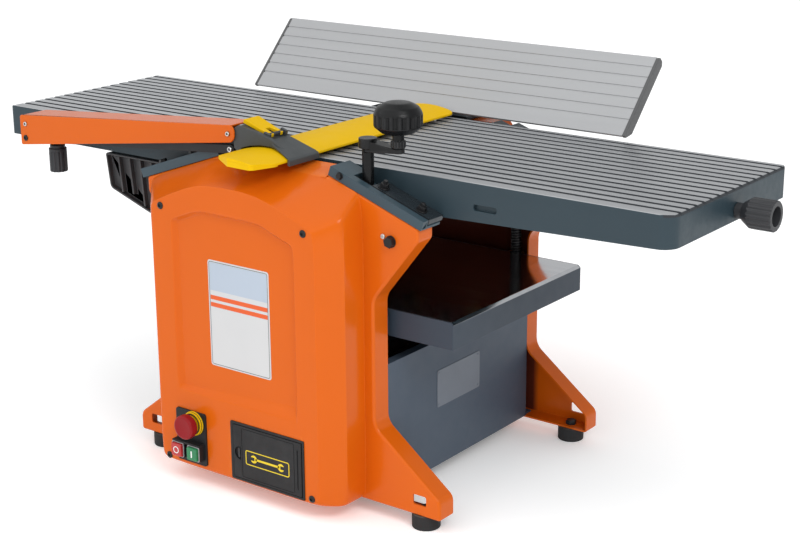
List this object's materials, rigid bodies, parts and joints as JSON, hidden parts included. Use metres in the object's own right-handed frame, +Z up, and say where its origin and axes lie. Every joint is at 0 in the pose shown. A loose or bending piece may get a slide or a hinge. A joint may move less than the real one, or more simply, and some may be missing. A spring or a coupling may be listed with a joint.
{
  "type": "combination planer thicknesser",
  "caption": "Bench-height surface planer and thicknesser: ribbed infeed and outfeed tables over a cutter block, lifting bed below, tilting fence, bridge guard and crank.",
  "frame": {"origin": "on the floor under the middle of the whole machine's box", "axes": "+X towards the infeed end with the depth knob, -Y towards the operator's side with the front cover, +Z up"},
  "size_m": [1.179, 0.64, 0.566],
  "materials": {
    "orange_paint": "gloss powder coat",
    "slate_paint": "satin paint",
    "table_casting": "machined ribs on painted casting",
    "bed_casting": "polished top on painted casting",
    "black_rubber": "matte",
    "black_steel": "blackened",
    "bright_steel": "ground",
    "chain_steel": "oiled",
    "bronze": "machined",
    "black_plastic": "fine grain",
    "yellow_plastic": "satin",
    "fence_aluminium": "satin extrusion",
    "red_plastic": "gloss",
    "green_plastic": "gloss"
  },
  "bodies": {
    "frame": {"front_side_panel": "orange_paint", "rear_side_panel": "orange_paint", "cross_panels": "slate_paint", "base_tray": "slate_paint", "front_cover": "orange_paint", "rear_cover": "orange_paint", "rubber_feet": "black_rubber", "frame_bolts": "black_steel", "cover_screws": "black_steel", "outfeed_table": "table_casting", "table_brackets": "slate_paint", "outfeed_runners": "slate_paint", "cutter_bearings": "bright_steel", "motor": "black_steel", "drive_belt": "black_rubber", "roller_bushes": "bronze", "feed_gearbox": "slate_paint", "feed_chain": "chain_steel", "screw_bushes": "chain_steel", "lift_chain": "chain_steel", "guard_bracket": "black_steel", "fence_base": "slate_paint", "switch_box": "black_plastic", "toolbox_bin": "black_plastic"},
    "infeed_table": {"infeed_table": "table_casting", "infeed_runners": "slate_paint", "infeed_runner_bolts": "black_steel"},
    "depth_knob": {"depth_knob": "black_plastic"},
    "cutter": {"cutter_block": "bright_steel", "planer_knives": "bright_steel", "knife_wedges": "bright_steel", "cutter_pulley": "bright_steel"},
    "motor_pulley": {"motor_pulley": "bright_steel"},
    "infeed_roller": {"infeed_feed_roller": "bright_steel"},
    "outfeed_roller": {"outfeed_feed_roller": "bright_steel"},
    "rake": {"kickback_rake": "bright_steel"},
    "crank": {"lead_screw_front_infeed": "black_steel", "crank_arm": "black_plastic"},
    "crank_knob": {"crank_knob": "black_plastic"},
    "screw_front_outfeed": {"lead_screw_front_outfeed": "black_steel"},
    "screw_rear_infeed": {"lead_screw_rear_infeed": "black_steel"},
    "screw_rear_outfeed": {"lead_screw_rear_outfeed": "black_steel"},
    "bed": {"thicknesser_bed": "bed_casting", "bed_nuts": "bronze"},
    "chip_hood": {"chip_hood": "black_plastic"},
    "guard_height_knob": {"guard_height_knob": "black_plastic"},
    "guard_arm": {"guard_arm": "orange_paint"},
    "guard_link": {"guard_link": "black_steel"},
    "guard_holder": {"guard_holder": "black_plastic"},
    "bridge_guard": {"bridge_guard": "yellow_plastic"},
    "clamp_lever": {"guard_clamp_lever": "yellow_plastic"},
    "fence_carriage": {"fence_carriage": "black_steel"},
    "fence": {"fence": "fence_aluminium", "fence_end_caps": "black_plastic"},
    "slide_lever": {"fence_slide_lever": "black_plastic"},
    "tilt_lever": {"fence_tilt_lever": "black_plastic"},
    "estop": {"estop_button": "red_plastic"},
    "start": {"start_button": "green_plastic"},
    "stop": {"stop_button": "red_plastic"},
    "tool_door": {"toolbox_door": "black_plastic"}
  },
  "joints": [
    {"name": "bed_lift", "type": "slide", "parent": "frame", "child": "bed", "axis": [0, 0, 1], "range_m": [-0.03, 0.055]},
    {"name": "crank_turn", "type": "hinge", "parent": "frame", "child": "crank", "pos_m": [0.1165, -0.205, 0.48], "axis": [0, 0, 1], "range_deg": [-2702, 4952]},
    {"name": "screw_front_outfeed_turn", "type": "hinge", "parent": "frame", "child": "screw_front_outfeed", "pos_m": [-0.1635, -0.205, 0.3], "axis": [0, 0, 1], "range_deg": [-2702, 4952]},
    {"name": "screw_rear_infeed_turn", "type": "hinge", "parent": "frame", "child": "screw_rear_infeed", "pos_m": [0.1165, 0.145, 0.3], "axis": [0, 0, 1], "range_deg": [-2702, 4952]},
    {"name": "screw_rear_outfeed_turn", "type": "hinge", "parent": "frame", "child": "screw_rear_outfeed", "pos_m": [-0.1635, 0.145, 0.3], "axis": [0, 0, 1], "range_deg": [-2702, 4952]},
    {"name": "crank_knob_spin", "type": "hinge", "parent": "crank", "child": "crank_knob", "pos_m": [0.1645, -0.205, 0.53], "axis": [0, 0, 1], "continuous": true},
    {"name": "infeed_table_slide", "type": "slide", "parent": "frame", "child": "infeed_table", "axis": [0.9438, 0, -0.3305], "range_m": [0, 0.01]},
    {"name": "depth_knob_turn", "type": "hinge", "parent": "infeed_table", "child": "depth_knob", "pos_m": [0.5665, -0.018, 0.4365], "axis": [1, 0, 0], "range_deg": [0, 1802]},
    {"name": "cutter_spin", "type": "hinge", "parent": "frame", "child": "cutter", "pos_m": [-0.0235, -0.03, 0.428], "axis": [0, 1, 0], "continuous": true},
    {"name": "motor_pulley_spin", "type": "hinge", "parent": "frame", "child": "motor_pulley", "pos_m": [-0.0435, -0.24, 0.148], "axis": [0, 1, 0], "continuous": true},
    {"name": "infeed_roller_spin", "type": "hinge", "parent": "frame", "child": "infeed_roller", "pos_m": [0.0345, -0.03, 0.405], "axis": [0, 1, 0], "continuous": true},
    {"name": "outfeed_roller_spin", "type": "hinge", "parent": "frame", "child": "outfeed_roller", "pos_m": [-0.0815, -0.03, 0.405], "axis": [0, 1, 0], "continuous": true},
    {"name": "rake_swing", "type": "hinge", "parent": "frame", "child": "rake", "pos_m": [0.0745, -0.03, 0.412], "axis": [0, 1, 0], "range_deg": [0, 51.5]},
    {"name": "hood_slide", "type": "slide", "parent": "frame", "child": "chip_hood", "axis": [-1, 0, 0], "range_m": [0, 0.25]},
    {"name": "guard_arm_lift", "type": "hinge", "parent": "frame", "child": "guard_arm", "pos_m": [-0.4935, -0.237, 0.456], "axis": [0, -1, 0], "range_deg": [-0.25, 8]},
    {"name": "guard_height_turn", "type": "hinge", "parent": "frame", "child": "guard_height_knob", "pos_m": [-0.4555, -0.214, 0.4], "axis": [0, 0, 1], "range_deg": [-31, 957]},
    {"name": "guard_link_lift", "type": "hinge", "parent": "frame", "child": "guard_link", "pos_m": [-0.4935, -0.233, 0.4345], "axis": [0, -1, 0], "range_deg": [-0.26, 8.1]},
    {"name": "guard_holder_level", "type": "hinge", "parent": "guard_arm", "child": "guard_holder", "pos_m": [-0.0915, -0.235, 0.4915], "axis": [0, -1, 0], "range_deg": [-8.1, 0.26]},
    {"name": "bridge_guard_slide", "type": "slide", "parent": "guard_holder", "child": "bridge_guard", "axis": [0, 1, 0], "range_m": [-0.24, 0.003]},
    {"name": "clamp_lever_lift", "type": "hinge", "parent": "guard_holder", "child": "clamp_lever", "pos_m": [-0.03105, -0.212, 0.49507], "axis": [0, 1, 0], "range_deg": [0, 68]},
    {"name": "fence_carriage_slide", "type": "slide", "parent": "frame", "child": "fence_carriage", "axis": [0, 1, 0], "range_m": [-0.004, 0.02]},
    {"name": "fence_tilt", "type": "hinge", "parent": "fence_carriage", "child": "fence", "pos_m": [-0.0485, 0.14482, 0.46884], "axis": [1, 0, 0], "range_deg": [0, 44]},
    {"name": "tilt_lever_turn", "type": "hinge", "parent": "fence_carriage", "child": "tilt_lever", "pos_m": [-0.0835, 0.164, 0.4662], "axis": [1, 0, 0], "range_deg": [-5, 17]},
    {"name": "slide_lever_turn", "type": "hinge", "parent": "frame", "child": "slide_lever", "pos_m": [-0.0485, 0.208, 0.48], "axis": [0, 0, 1], "range_deg": [-45, 45]},
    {"name": "estop_push", "type": "slide", "parent": "frame", "child": "estop", "axis": [0, 1, 0], "range_m": [0, 0.005]},
    {"name": "start_push", "type": "slide", "parent": "frame", "child": "start", "axis": [0, 1, 0], "range_m": [0, 0.003], "stiffness_N_per_m": 400},
    {"name": "stop_push", "type": "slide", "parent": "frame", "child": "stop", "axis": [0, 1, 0], "range_m": [0, 0.003], "stiffness_N_per_m": 400},
    {"name": "tool_door_swing", "type": "hinge", "parent": "frame", "child": "tool_door", "pos_m": [0.0689, -0.2945, 0.069], "axis": [0, 0, 1], "range_deg": [0, 100]}
  ],
  "couplings": [
    {"joint": "crank_turn", "follows": "bed_lift", "rad_per_m": 1570.8},
    {"joint": "screw_front_outfeed_turn", "follows": "bed_lift", "rad_per_m": 1570.8},
    {"joint": "screw_rear_infeed_turn", "follows": "bed_lift", "rad_per_m": 1570.8},
    {"joint": "screw_rear_outfeed_turn", "follows": "bed_lift", "rad_per_m": 1570.8},
    {"joint": "depth_knob_turn", "follows": "infeed_table_slide", "rad_per_m": 3141.6},
    {"joint": "motor_pulley_spin", "follows": "cutter_spin", "ratio": 0.43333},
    {"joint": "infeed_roller_spin", "follows": "cutter_spin", "ratio": 0.0083},
    {"joint": "outfeed_roller_spin", "follows": "cutter_spin", "ratio": 0.0083},
    {"joint": "guard_height_turn", "follows": "guard_arm_lift", "ratio": 119.33},
    {"joint": "guard_link_lift", "follows": "guard_arm_lift", "ratio": 1},
    {"joint": "guard_holder_level", "follows": "guard_arm_lift", "ratio": -1}
  ]
}
